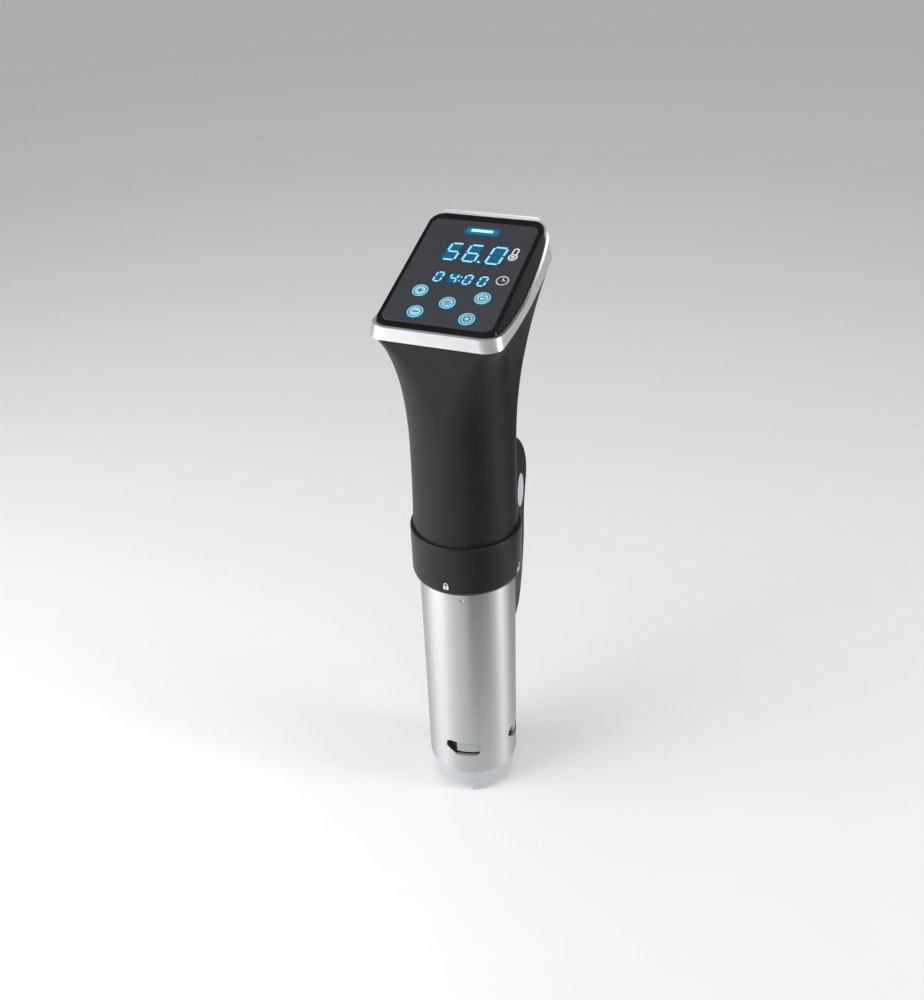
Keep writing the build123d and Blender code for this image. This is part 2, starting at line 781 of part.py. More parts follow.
# =====================================================================
# Power electronics on their own board inside the handle.
# =====================================================================
pcb_z0 = z_handle + 60.0
pcb_z1 = z_handle + 112.0
pcb_w = 34.0
pcb_back = board_y + 1.6
with BuildPart() as power_board:
    with BuildSketch(Plane(origin=(0, board_y + 0.02, 0), x_dir=(1, 0, 0), z_dir=(0, 1, 0))):
        with Locations((0, -(pcb_z0 + pcb_z1) / 2)):
            RectangleRounded(pcb_w, pcb_z1 - pcb_z0, 1.5)
        for x, z in post_at:
            with Locations((-x, -z), (x, -z)):
                Circle(1.6, mode=Mode.SUBTRACT)
    extrude(amount=1.58)
save(power_board, "power_board")

with BuildPart() as board_screws:
    for x, z in post_at:
        for side in (-1, 1):
            rod_y(1.05, board_y - 6, pcb_back + 0.1, side * x, z)
            rod_y(2.5, pcb_back + 0.02, pcb_back + 2.0, side * x, z)
save(board_screws, "board_screws")

with BuildPart() as transformer:
    with Locations((-4.0, pcb_back + 8.3, z_handle + 92)):
        Box(13.0, 16.4, 17.0)
    with Locations((-4.0, pcb_back + 8.3, z_handle + 92)):
        Box(17.0, 12.0, 9.0)
save(transformer, "transformer")

with BuildPart() as relay:
    with Locations((-1.0, board_y - 7.8, z_handle + 97)):
        Box(19.0, 15.4, 12.0)
    fillet(relay.edges().filter_by(Axis.Y), 0.8)
save(relay, "relay")

with BuildPart() as capacitors:
    for x in (-6.5, 4.0):
        rod_y(4.6, board_y - 14, board_y - 0.05, x, z_handle + 82)
    fillet(capacitors.edges().filter_by(GeomType.CIRCLE).group_by(Axis.Y)[0], 0.6)
save(capacitors, "capacitors")

with BuildPart() as triac_heatsink:
    with Locations((0, pcb_back + 1.6, z_handle + 71)):
        Box(20.0, 3.0, 17.0)
    for k in range(5):
        with Locations((-8.8 + 4.4 * k, pcb_back + 7.0, z_handle + 71)):
            Box(1.4, 9.0, 17.0)
save(triac_heatsink, "triac_heatsink")

with BuildPart() as inner_wiring:
    for k in range(4):
        deg = 45 + 90 * k
        low = around(deg, math.hypot(heat_x, heat_y))
        high = around(deg, 23.0)
        with BuildLine() as lead:
            FilletPolyline(
                (low[0], low[1], z_term + 8.7),
                (high[0], high[1], z_mount - 1.5),
                (high[0], high[1], z_motor + motor_h + 1),
                (high[0] * 0.55, high[1] * 0.55, z_motor + motor_h + 7),
                radius=1.8,
            )
        route = lead.wires()[0]
        with BuildSketch(Plane(origin=route @ 0, z_dir=route % 0)):
            Circle(1.0)
        sweep(path=route)
save(inner_wiring, "inner_wiring")

with BuildPart() as display_ribbon:
    with BuildSketch(Plane.YZ.offset(-6)):
        with BuildLine():
            Polyline(
                (5.0, z_handle + 106),
                (5.0, z_handle + 118),
                (9.0, z_handle + 126),
                (9.0, z_handle + 138.6),
                (9.7, z_handle + 138.9),
                (9.7, z_handle + 125.8),
                (5.7, z_handle + 117.8),
                (5.7, z_handle + 106),
                close=True,
            )
        make_face()
    extrude(amount=12)
    with Locations((0, pcb_back + 3.0, z_handle + 108)):
        Box(13.0, 5.9, 4.0)
save(display_ribbon, "display_ribbon")

# =====================================================================
# Clamp: a sprung lever on a pin between the collar's ears.
# =====================================================================
half = lever_w / 2
flank = half - ear_out - 0.6
with BuildPart() as clamp_lever:
    with BuildSketch(Plane.YZ.offset(-half)):
        with BuildLine():
            Spline(
                (56.0, 237.0),
                (63.0, 230.5),
                (69.6, 220.5),
                (72.8, 209.0),
                (71.6, 196.0),
                (69.0, 182.0),
                (68.0, 156.0),
                (65.6, 136.0),
                (61.5, 117.0),
                (56.5, 105.0),
                (49.0, 98.5),
            )
            Spline((49.0, 98.5), (41.0, 98.6), (35.4, 102.6), (34.4, 108.0))
            Polyline((34.4, 108.0), (34.4, 158.0), (39.0, 166.0), (41.5, 182.0))
            Spline((41.5, 182.0), (42.2, 193.0), (45.0, 203.0), (51.5, 214.0), (53.6, 225.0))
            Spline((53.6, 225.0), (52.6, 232.0), (53.2, 236.2), (56.0, 237.0))
        make_face()
    extrude(amount=lever_w)
    rims = clamp_lever.faces().sort_by(Axis.X)
    fillet(rims[0].edges() + rims[-1].edges(), 1.4)
    with BuildSketch(Plane.YZ.offset(-half + flank)):
        with BuildLine():
            Spline(
                (58.0, 229.0),
                (64.6, 221.0),
                (69.2, 209.0),
                (68.2, 196.0),
                (65.6, 182.0),
                (64.6, 156.0),
                (62.2, 137.0),
                (58.4, 120.0),
            )
            Polyline((58.4, 120.0), (50.0, 111.0), (38.4, 111.0), (38.4, 157.0))
            Polyline((38.4, 157.0), (30.0, 168.0), (30.0, 250.0), (45.0, 250.0), (58.0, 229.0))
        make_face()
    extrude(amount=lever_w - 2 * flank, mode=Mode.SUBTRACT)
    with BuildSketch(Plane.YZ.offset(-half - 1)):
        with Locations((pivot_y, pivot_z)):
            Circle(pin_r + 0.02)
    extrude(amount=lever_w + 2, mode=Mode.SUBTRACT)
    with BuildSketch(Plane.YZ.offset(-half - 1)):
        with Locations((60.5, 195.5)):
            Ellipse(5.6, 12.6)
    extrude(amount=1.8, mode=Mode.SUBTRACT)
    with BuildSketch(Plane.YZ.offset(half - 0.8)):
        with Locations((60.5, 195.5)):
            Ellipse(5.6, 12.6)
    extrude(amount=1.8, mode=Mode.SUBTRACT)
save(clamp_lever, "clamp_lever")

# Grey thumb grips set into both flanks of the lever.
with BuildPart() as lever_grips:
    for x0 in (-half + 0.02, half - 0.78):
        with BuildSketch(Plane.YZ.offset(x0)):
            with Locations((60.5, 195.5)):
                Ellipse(5.5, 12.5)
            with Locations((pivot_y, pivot_z)):
                Circle(pin_r + 0.6, mode=Mode.SUBTRACT)
        extrude(amount=0.76)
save(lever_grips, "lever_grips")

with BuildPart() as clamp_pin:
    with BuildSketch(Plane.YZ.offset(-half + 0.9)):
        with Locations((pivot_y, pivot_z)):
            Circle(pin_r)
    extrude(amount=lever_w - 1.8)
    chamfer(clamp_pin.edges().filter_by(GeomType.CIRCLE), 0.3)
save(clamp_pin, "clamp_pin")

pad_face = sleeve_r + 0.6
pad_back = 34.39
with BuildPart() as jaw_pad:
    with BuildSketch(Plane.XY.offset(109.6)):
        with Locations((0, (pad_face + pad_back) / 2)):
            Rectangle(22.0, pad_back - pad_face)
    extrude(amount=46.0)
    for k in range(6):
        with BuildSketch(Plane.XY.offset(111.6 + 8.0 * k)):
            with Locations((0, pad_face)):
                Rectangle(30.0, 2.0)
        extrude(amount=2.0, mode=Mode.SUBTRACT)
save(jaw_pad, "jaw_pad")

spring_r = 4.4
wire_r = 0.7
turns = 6
pitch = 1.55
with BuildPart() as clamp_spring:
    length = turns * pitch
    with BuildLine() as coil:
        Helix(
            pitch,
            length,
            spring_r,
            center=(-length / 2, pivot_y, pivot_z),
            direction=(1, 0, 0),
        )
    route = coil.wires()[0]
    with BuildSketch(Plane(origin=route @ 0, z_dir=route % 0)):
        Circle(wire_r)
    sweep(path=route, is_frenet=True)
save(clamp_spring, "clamp_spring")
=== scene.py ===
# %% [markdown]
# # A sous vide circulator, dressed for its picture
#
# The engineering model already holds every part at its true size. This lesson
# keeps those parts where they are, gives each one a real finish, and adds the
# thin printed and lit marks that a solid modeller leaves out.

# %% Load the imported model
import bpy
import bmesh
import json
import math
from mathutils import Matrix, Vector

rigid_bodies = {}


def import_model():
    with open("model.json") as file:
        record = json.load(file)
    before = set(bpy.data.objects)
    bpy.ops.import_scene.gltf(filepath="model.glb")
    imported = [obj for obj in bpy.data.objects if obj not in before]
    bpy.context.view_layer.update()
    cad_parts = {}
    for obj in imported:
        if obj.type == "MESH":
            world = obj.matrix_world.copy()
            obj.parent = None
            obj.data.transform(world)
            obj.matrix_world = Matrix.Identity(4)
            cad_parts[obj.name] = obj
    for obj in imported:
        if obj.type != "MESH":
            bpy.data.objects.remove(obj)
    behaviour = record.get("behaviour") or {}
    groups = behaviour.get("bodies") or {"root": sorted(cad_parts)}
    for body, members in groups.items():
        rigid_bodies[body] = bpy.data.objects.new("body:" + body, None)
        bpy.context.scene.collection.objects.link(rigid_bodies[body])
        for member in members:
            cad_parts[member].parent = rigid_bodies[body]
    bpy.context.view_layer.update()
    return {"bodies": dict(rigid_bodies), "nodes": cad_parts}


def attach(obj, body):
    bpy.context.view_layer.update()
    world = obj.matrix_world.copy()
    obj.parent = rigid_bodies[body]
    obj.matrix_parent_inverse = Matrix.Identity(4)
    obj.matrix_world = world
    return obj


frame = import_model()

nodes = frame["nodes"]

# %% [markdown]
# ## Writing a finish
#
# A finish is a little tree of shader nodes. Building one by hand in code takes
# many lines, so two small classes do the wiring: `Level` wraps one socket and
# lets us write shader maths as plain sums, and `Finish` owns one material and
# adds any node with its settings and its inputs in a single call.

# %% The two helper classes
class Level:
    """One output socket that can be added, scaled and compared."""

    def __init__(self, finish, socket):
        self.finish = finish
        self.socket = socket

    def math(self, operation, *others):
        sockets = dict(enumerate((self,) + others))
        return self.finish.node("ShaderNodeMath", {"operation": operation}, sockets)

    def __add__(self, other):
        return self.math("ADD", other)

    def __radd__(self, other):
        return self.math("ADD", other)

    def __sub__(self, other):
        return self.math("SUBTRACT", other)

    def __rsub__(self, other):
        sockets = {0: other, 1: self}
        return self.finish.node("ShaderNodeMath", {"operation": "SUBTRACT"}, sockets)

    def __mul__(self, other):
        return self.math("MULTIPLY", other)

    def __rmul__(self, other):
        return self.math("MULTIPLY", other)

class Finish:
    """A node material with one Principled shader."""

    def __init__(self, name, colour, roughness, metallic=0.0):
        self.material = bpy.data.materials.new(name)
        self.material.use_nodes = True
        self.tree = self.material.node_tree
        self.shader = self.tree.nodes["Principled BSDF"]
        self.feed("Base Color", (*colour, 1.0))
        self.feed("Roughness", roughness)
        self.feed("Metallic", metallic)

    def node(self, kind, settings=None, sockets=None, out=0):
        """Adds any node: its settings first, then the values or links of its sockets."""
        made = self.tree.nodes.new(kind)
        for key, value in (settings or {}).items():
            setattr(made, key, value)
        for key, value in (sockets or {}).items():
            self.join(value, made.inputs[key])
        return Level(self, made.outputs[out])

    def join(self, value, socket):
        if isinstance(value, Level):
            self.tree.links.new(value.socket, socket)
        else:
            socket.default_value = value

    def feed(self, name, value):
        self.join(value, self.shader.inputs[name])
        return self

    def place(self):
        """Where the point is on the object, in metres: the Object coordinates."""
        return self.node("ShaderNodeTexCoord", out=3)

    def split(self, vector):
        """The x, y and z of a vector, as three levels."""
        parts = self.node("ShaderNodeSeparateXYZ", {}, {0: vector}).socket.node
        return [Level(self, output) for output in parts.outputs]

    def noise(self, scale, detail=3.0, rough=0.5, at=None):
        sockets = {
            "Vector": at or self.place(),
            "Scale": scale,
            "Detail": detail,
            "Roughness": rough,
        }
        return self.node("ShaderNodeTexNoise", {}, sockets)

    def spread(self, level, low, high, start=0.0, end=1.0):
        """Stretches a level from start..end to low..high."""
        sockets = {0: level, 1: start, 2: end, 3: low, 4: high}
        return self.node("ShaderNodeMapRange", {}, sockets)

    def blend(self, share, first, second):
        """Mixes two colours by a level."""
        sockets = {0: share, 6: first, 7: second}
        return self.node("ShaderNodeMix", {"data_type": "RGBA"}, sockets, out=2)

    def bump(self, height, strength, distance):
        sockets = {"Height": height, "Strength": strength, "Distance": distance}
        return self.feed("Normal", self.node("ShaderNodeBump", {}, sockets))


def rgb(red, green, blue):
    """A colour seen on screen (0 to 255) as the linear light that a shader wants."""

    def linear(c):
        c = c / 255
        return c / 12.92 if c <= 0.04045 else ((c + 0.055) / 1.055) ** 2.4

    return (linear(red), linear(green), linear(blue))


def shade(colour, factor=1.0):
    """The colour made darker or lighter by a factor, with the alpha that nodes want."""
    return (*(min(1.0, part * factor) for part in colour), 1)


# A noise seldom leaves the middle of its range, so this is what gets stretched.
MIDDLE = (0.3, 0.7)
print("helpers ready")

# %% [markdown]
# ## Soft-touch black
#
# The handle, the collar and the clamp are moulded and then given a matte,
# slightly rubbery coat. Close up it has a very fine orange-peel grain, and
# hands leave it a little smoother in broad patches. One noise drives the
# patches in the roughness, and a far finer one becomes a shallow bump.

# %% Soft-touch black
def soft_black(name, base, rough_low, rough_high, grain=2600.0):
    coat = Finish(name, base, 0.5)
    patches = coat.noise(38.0, 4.0, 0.55)
    fine = coat.noise(grain, 2.0, 0.6)
    worn = coat.spread(patches, 0, 1, 0.35, 0.65)
    coat.feed("Base Color", coat.blend(worn, shade(base), shade(base, 1.35)))
    both = patches * 0.8 + fine * 0.2
    coat.feed("Roughness", coat.spread(both, rough_low, rough_high, *MIDDLE))
    coat.feed("Specular IOR Level", 0.27)
    coat.bump(fine, 0.16, 0.00006)
    return coat.material


handle_black = soft_black("handle_black", (0.0105, 0.0112, 0.0128), 0.40, 0.55)
collar_black = soft_black("collar_black", (0.0095, 0.0101, 0.0116), 0.34, 0.46, 3000.0)
clamp_black = soft_black("clamp_black", (0.0095, 0.01, 0.0115), 0.38, 0.52, 2200.0)
print("soft black coats: 3")

# %% [markdown]
# ## Brushed steel
#
# The sleeve is brushed round and round, so its scratches are long in the
# direction of turning and hair-thin along the axis. Stretching a noise does
# that: the angle round the axis is fed in nearly unscaled and the height is
# scaled up a thousandfold. Two such noises, one fine and one coarse, vary the
# roughness and a very shallow bump. Scratches that run round a tube also smear
# each highlight along it, which the shader's anisotropy does: turned a quarter
# round, it draws the soft boxes out into upright stripes.

# %% Brushed steel
def turned_steel(name, colour, rough_low, rough_high):
    steel = Finish(name, colour, 0.3, 1.0)
    x, y, z = steel.split(steel.place())
    angle = y.math("ARCTAN2", x)

    def scratches(round_scale, up_scale, shift):
        sockets = {0: angle * round_scale, 1: z * up_scale, 2: shift}
        return steel.node("ShaderNodeCombineXYZ", {}, sockets)

    fine = steel.noise(1.0, 3.0, 0.65, scratches(2.2, 9000.0, 0.0))
    broad = steel.noise(1.0, 4.0, 0.7, scratches(0.9, 1300.0, 3.0))
    both = fine * 0.6 + broad * 0.4
    steel.feed("Roughness", steel.spread(both, rough_low, rough_high, *MIDDLE))
    level = steel.spread(both, 0, 1, *MIDDLE)
    steel.feed("Base Color", steel.blend(level, shade(colour, 0.86), shade(colour, 1.1)))
    steel.feed("Anisotropic", 0.8)
    steel.feed("Anisotropic Rotation", 0.25)
    steel.bump(both, 0.35, 0.00003)
    return steel.material


sleeve_steel = turned_steel("sleeve_steel", (0.60, 0.60, 0.605), 0.40, 0.54)
shaft_steel = turned_steel("shaft_steel", (0.52, 0.52, 0.53), 0.18, 0.3)


def straight_steel(name, colour, rough_low, rough_high, along):
    """Steel brushed along one direction, given as how each axis is squeezed."""
    steel = Finish(name, colour, 0.3, 1.0)
    mapped = steel.node("ShaderNodeMapping", {}, {"Vector": steel.place(), "Scale": along})
    fine = steel.noise(1.0, 3.0, 0.65, mapped)
    broad = steel.noise(60.0, 3.0, 0.6)
    both = fine * 0.7 + broad * 0.3
    steel.feed("Roughness", steel.spread(both, rough_low, rough_high, *MIDDLE))
    steel.feed("Base Color", steel.blend(fine, shade(colour, 0.9), shade(colour, 1.08)))
    steel.bump(fine, 0.3, 0.00003)
    return steel.material


METALS = {
    "rim_steel": ((0.80, 0.805, 0.82), 0.26, 0.38, (90.0, 90.0, 6000.0)),
    "screw_steel": ((0.42, 0.42, 0.44), 0.25, 0.4, (2500.0, 2500.0, 2500.0)),
    "can_steel": ((0.50, 0.50, 0.51), 0.25, 0.42, (120.0, 120.0, 4000.0)),
    "aluminium": ((0.72, 0.73, 0.74), 0.3, 0.45, (3000.0, 200.0, 200.0)),
    "brass": ((0.70, 0.52, 0.24), 0.25, 0.38, (1500.0, 1500.0, 4000.0)),
    "heater_steel": ((0.46, 0.45, 0.44), 0.24, 0.42, (700.0, 700.0, 220.0)),
}
metal = {name: straight_steel(name, *values) for name, values in METALS.items()}
print("metals:", 2 + len(metal))

# %% [markdown]
# ## Gloss black and the dark lens
#
# The display housing is polished black moulding, and the touch panel on it is
# a smoked acrylic sheet, a shade lighter because its back is printed grey.
# Both need faint wipe marks, or they look like paint on a computer screen.

# %% Gloss black and the lens
def polished(name, base, rough_low, rough_high, level):
    gloss = Finish(name, base, 0.1)
    smear = gloss.noise(40.0, 2.0, 0.5)
    gloss.feed("Roughness", gloss.spread(smear, rough_low, rough_high))
    gloss.feed("Base Color", gloss.blend(smear, shade(base), shade(base, 1.12)))
    gloss.feed("Specular IOR Level", level)
    gloss.bump(gloss.noise(900.0, 2.0), 0.02, 0.00002)
    return gloss.material


housing_gloss = polished("housing_gloss", (0.0025, 0.0025, 0.003), 0.14, 0.24, 0.2)
lens_dark = polished("lens_dark", (0.034, 0.037, 0.046), 0.28, 0.36, 0.25)
print("polished blacks: 2")

# %% [markdown]
# ## Milky plastic
#
# The bottom cap is a natural, uncoloured moulding, cloudy right through, and
# the ring behind the slots is clear but sees only dark metal. Letting light
# through such thin walls gives a noisy picture for little gain, so both are
# made opaque here: a pale grey for the cap and a duller one for the ring, each
# with a slow cloudiness and a half-gloss surface.

# %% Milky plastic
def milky_plastic(name, low, high, rough_low, rough_high):
    plastic = Finish(name, high, rough_low)
    cloud = plastic.noise(120.0, 3.0)
    plastic.feed("Base Color", plastic.blend(cloud, shade(low), shade(high)))
    plastic.feed("Roughness", plastic.spread(cloud, rough_low, rough_high, *MIDDLE))
    plastic.feed("IOR", 1.49)
    plastic.bump(plastic.noise(1500.0, 2.0), 0.05, 0.00003)
    return plastic.material


milky_cap = milky_plastic("milky_cap", rgb(186, 190, 193), rgb(200, 204, 206), 0.26, 0.36)
clear_ring = milky_plastic("clear_ring", rgb(150, 153, 155), rgb(176, 179, 180), 0.2, 0.3)
print("milky plastics: 2")

# %% [markdown]
# ## Inner plastics, rubber, boards and wires
#
# With the sleeve off, the parts in the water show: rubber seals, dark
# engineering plastic, white bushes. Deeper in are the circuit boards. Each gets
# its own grain, at the size the real one has.

# %% Rubber and plain plastics
def moulded(name, base, rough_low, rough_high, grain, depth):
    plastic = Finish(name, base, 0.5)
    cloudy = plastic.noise(70.0, 4.0)
    fine = plastic.noise(grain, 3.0, 0.6)
    level = plastic.spread(cloudy, 0, 1, *MIDDLE)
    plastic.feed("Base Color", plastic.blend(level, shade(base, 0.88), shade(base, 1.12)))
    both = cloudy * 0.6 + fine * 0.4
    plastic.feed("Roughness", plastic.spread(both, rough_low, rough_high, *MIDDLE))
    plastic.feed("Specular IOR Level", 0.45)
    plastic.bump(fine, 0.3, depth)
    return plastic.material


PLASTICS = {
    "pad_rubber": ((0.016, 0.016, 0.017), 0.6, 0.8, 1400.0, 0.0001),
    "seal_red": ((0.33, 0.075, 0.045), 0.45, 0.6, 1200.0, 0.00005),
    "grip_grey": (rgb(196, 197, 201), 0.45, 0.6, 1600.0, 0.00008),
    "inner_dark": ((0.022, 0.022, 0.024), 0.42, 0.6, 1800.0, 0.00005),
    "bush_white": ((0.74, 0.735, 0.70), 0.35, 0.5, 1500.0, 0.00003),
    "wire_red": ((0.30, 0.03, 0.022), 0.4, 0.55, 900.0, 0.00003),
    "ribbon_grey": ((0.55, 0.55, 0.54), 0.4, 0.55, 900.0, 0.00003),
    "part_blue": ((0.02, 0.06, 0.16), 0.35, 0.5, 1200.0, 0.00003),
    "print_white": (rgb(222, 224, 226), 0.4, 0.5, 2000.0, 0.00001),
    "icon_dark": (rgb(40, 92, 112), 0.35, 0.5, 2000.0, 0.00001),
}
plastic = {name: moulded(name, *values) for name, values in PLASTICS.items()}
print("plain plastics:", len(plastic))

# %% Circuit board
# The edges between random cells stand in for the copper tracks.
board = Finish("board_green", (0.01, 0.10, 0.045), 0.35)
cells = {"Vector": board.place(), "Scale": 260.0}
edges = board.node("ShaderNodeTexVoronoi", {"feature": "DISTANCE_TO_EDGE"}, cells)
track = board.spread(edges, 1.0, 0.0, 0.03, 0.06)
board.feed("Base Color", board.blend(track, (0.008, 0.085, 0.035, 1), (0.03, 0.19, 0.085, 1)))
board.feed("Roughness", board.spread(track, 0.38, 0.26))
board.feed("Coat Weight", 0.3)
board.bump(track, 0.25, 0.00004)
print("circuit board ready")

# %% [markdown]
# ## Light
#
# The digits and marks glow a cold blue-white, with a deeper blue spill round
# them on the lens. The core is an emitter whose brightness wavers a little, so
# that it doesn't look like a sticker.

# %% Lit finishes
def lit(name, colour, strength):
    lamp = Finish(name, (0.02, 0.03, 0.035), 0.3)
    wobble = lamp.noise(400.0, 2.0)
    level = lamp.spread(wobble, 0, 1, *MIDDLE)
    lamp.feed("Emission Color", lamp.blend(level, shade(colour, 0.9), shade(colour)))
    lamp.feed("Emission Strength", strength)
    return lamp.material


digit_light = lit("digit_light", rgb(150, 225, 250), 1.15)
bar_light = lit("bar_light", rgb(178, 240, 255), 1.6)
mark_light = lit("mark_light", rgb(160, 222, 236), 0.95)
print("lit finishes: 3")

# %% [markdown]
# ## Dressing the engineering parts
#
# Every part that stays gets its finish here, by name. A part may hold several
# identical pieces, such as screws, and they all share the finish.

# %% Dress every part
wardrobe = {
    "front_shell": handle_black,
    "rear_shell": handle_black,
    "collar": collar_black,
    "clamp_lever": clamp_black,
    "lever_grips": plastic["grip_grey"],
    "jaw_pad": plastic["pad_rubber"],
    "clamp_pin": shaft_steel,
    "clamp_spring": metal["screw_steel"],
    "sleeve": sleeve_steel,
    "bottom_cap": milky_cap,
    "inlet_ring": clear_ring,
    "head_rim": metal["rim_steel"],
    "display_housing": housing_gloss,
    "display_lens": lens_dark,
    "bulkhead": plastic["inner_dark"],
    "bayonet_ring": plastic["inner_dark"],
    "bulkhead_gasket": plastic["seal_red"],
    "sleeve_seal": plastic["seal_red"],
    "bulkhead_screws": metal["screw_steel"],
    "motor_screws": metal["screw_steel"],
    "shell_screws": metal["screw_steel"],
    "board_screws": metal["screw_steel"],
    "display_screws": metal["screw_steel"],
    "shaft_tube": shaft_steel,
    "drive_shaft": shaft_steel,
    "motor_shaft": shaft_steel,
    "lower_bush": plastic["bush_white"],
    "upper_bush": plastic["bush_white"],
    "impeller": plastic["bush_white"],
    "shaft_seal": plastic["pad_rubber"],
    "cord_gland": plastic["pad_rubber"],
    "heater_element": metal["heater_steel"],
    "heater_terminals": metal["brass"],
    "shaft_coupling": metal["brass"],
    "temp_probe": shaft_steel,
    "level_probes": shaft_steel,
    "thermal_cutout": plastic["inner_dark"],
    "motor_mount": metal["aluminium"],
    "triac_heatsink": metal["aluminium"],
    "motor": metal["can_steel"],
    "display_board": board.material,
    "power_board": board.material,
    "digit_module": plastic["inner_dark"],
    "light_bar": bar_light,
    "touch_pads": mark_light,
    "buzzer": plastic["inner_dark"],
    "transformer": plastic["part_blue"],
    "relay": plastic["inner_dark"],
    "capacitors": plastic["part_blue"],
    "inner_wiring": plastic["wire_red"],
    "display_ribbon": plastic["ribbon_grey"],
}
for name, finish in wardrobe.items():
    slots = nodes[name].data.materials
    slots.clear()
    slots.append(finish)
left = sorted(set(nodes) - set(wardrobe))
print("dressed", len(wardrobe), "parts, left out:", left)

# %% [markdown]
# ## Marks on the panel
#
# The digits, the icons and the ring round each touch spot are printed or lit
# behind the lens, so on the real panel they have almost no height. Each one
# here is a real shape, about 0.2 mm proud of the lens, made flat on the floor from
# a mesh primitive, given its thickness, and then laid on the tilted panel.
# Working flat first keeps every number simple: x runs across the panel, y runs
# up it, both in millimetres from the panel's middle.

# %% From flat work to the tilted panel
MM = 0.001
PANEL_TILT = math.radians(21.7)
PANEL_MIDDLE = Vector((0, 0.0061, 0.3618))
panel_place = Matrix.Translation(PANEL_MIDDLE) @ Matrix.Rotation(PANEL_TILT, 4, "X")
UPRIGHT = math.pi / 2
RING_SIDES = 64
THICK, LOW = 0.12, 0.06  # of a mark, and of its underside above the lens


def only(*pieces):
    """Leaves just these pieces selected, the first of them active."""
    bpy.ops.object.select_all(action="DESELECT")
    for piece in pieces:
        piece.select_set(True)
    bpy.context.view_layer.objects.active = pieces[0]


def settle(piece, place):
    """Puts the place into the mesh, so the object itself sits at the origin."""
    piece.data.transform(place @ piece.matrix_world)
    piece.matrix_world = Matrix.Identity(4)
    return piece


def flat_disc(radius, thick, x=0.0, y=0.0, low=0.0, sides=48):
    """A thin round plate."""
    bpy.ops.object.select_all(action="DESELECT")
    bpy.ops.mesh.primitive_cylinder_add(
        vertices=sides,
        radius=radius * MM,
        depth=thick * MM,
        location=(x * MM, y * MM, (low + thick / 2) * MM),
    )
    return bpy.context.active_object


def flat_bar(length, width, thick, x, y, low=0.0, turn=0.0, point=0.0):
    """A thin bar, its two ends drawn to a point when asked, turned about its middle."""
    bpy.ops.object.select_all(action="DESELECT")
    bpy.ops.mesh.primitive_cube_add(size=1.0, location=(0, 0, 0))
    bar = bpy.context.active_object
    bpy.ops.object.mode_set(mode="EDIT")
    bpy.ops.transform.resize(value=((length - 2 * point) * MM, width * MM, thick * MM))
    if point:
        shape = bmesh.from_edit_mesh(bar.data)
        for sign in (-1, 1):
            bpy.ops.mesh.select_all(action="DESELECT")
            for face in shape.faces:
                face.select = face.normal.x * sign > 0.9
            bmesh.update_edit_mesh(bar.data)
            bpy.ops.mesh.extrude_region_move(
                TRANSFORM_OT_translate={"value": (sign * point * MM, 0, 0)}
            )
            bpy.ops.transform.resize(value=(1, 0.25, 1))
            shape = bmesh.from_edit_mesh(bar.data)
    bpy.ops.object.mode_set(mode="OBJECT")
    middle = Matrix.Translation((x * MM, y * MM, (low + thick / 2) * MM))
    bar.matrix_world = middle @ Matrix.Rotation(turn, 4, "Z")
    return bar


def flat_ring(outer, inner, thick, x=0.0, y=0.0, low=0.0, sweep=360.0, start=0.0):
    """A thin ring, or an arc of one: a small rectangle spun about its centre."""
    bpy.ops.object.select_all(action="DESELECT")
    bpy.ops.mesh.primitive_plane_add(size=1.0, location=(0, 0, 0))
    ring = bpy.context.active_object
    bpy.ops.object.mode_set(mode="EDIT")
    bpy.ops.transform.resize(value=((outer - inner) * MM, 1, thick * MM))
    bpy.ops.mesh.select_all(action="SELECT")
    shape = bmesh.from_edit_mesh(ring.data)
    for vertex in shape.verts:  # stands the plate upright, at the ring's middle radius
        across, up = vertex.co.x, vertex.co.y
        vertex.co = (across + (outer + inner) / 2 * MM, 0, up * thick * MM)
    bmesh.update_edit_mesh(ring.data)
    whole = sweep >= 360.0
    bpy.ops.mesh.spin(
        steps=round(RING_SIDES * sweep / 360),
        angle=-math.radians(sweep),
        center=(0, 0, 0),
        axis=(0, 0, 1),
        use_auto_merge=whole,
    )
    bpy.ops.mesh.select_all(action="SELECT")
    bpy.ops.mesh.remove_doubles(threshold=1e-7)
    bpy.ops.mesh.normals_make_consistent(inside=False)
    bpy.ops.object.mode_set(mode="OBJECT")
    middle = Matrix.Translation((x * MM, y * MM, (low + thick / 2) * MM))
    ring.matrix_world = middle @ Matrix.Rotation(math.radians(start), 4, "Z")
    return ring


def join_as(name, pieces, finish, place, body="housing"):
    """Joins flat pieces into one, lays it in place and dresses it."""
    only(*pieces)
    bpy.ops.object.join()
    piece = bpy.context.active_object
    settle(piece, place)
    piece.name = name
    piece.data.name = name
    piece.data.materials.clear()
    piece.data.materials.append(finish)
    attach(piece, body)
    print(name, len(piece.data.polygons), "faces")
    return piece


# %% [markdown]
# ## Seven-bar digits
#
# Every digit is made of up to seven bars with pointed ends, and leans to the
# right like the real ones. The bars are laid straight first. Then one shear,
# worked from the digit's foot, leans them all alike, so its corners stay shut.

# %% Seven-bar digits
# Each bar's middle, as shares of the digit's width and height, and if it is upright.
BARS = {
    "a": (0.5, 1.0, 0),
    "b": (1.0, 0.75, 1),
    "c": (1.0, 0.25, 1),
    "d": (0.5, 0.0, 0),
    "e": (0.0, 0.25, 1),
    "f": (0.0, 0.75, 1),
    "g": (0.5, 0.5, 0),
}
DIGIT_BARS = {"0": "abcdef", "4": "bcfg", "5": "acdfg", "6": "acdefg"}


def leaning(lean, y0):
    """A shear that leans everything to the right, still at height y0."""
    shear = Matrix.Identity(4)
    shear[0][1] = math.tan(math.radians(lean))
    return Matrix.Translation((0, y0 * MM, 0)) @ shear @ Matrix.Translation((0, -y0 * MM, 0))


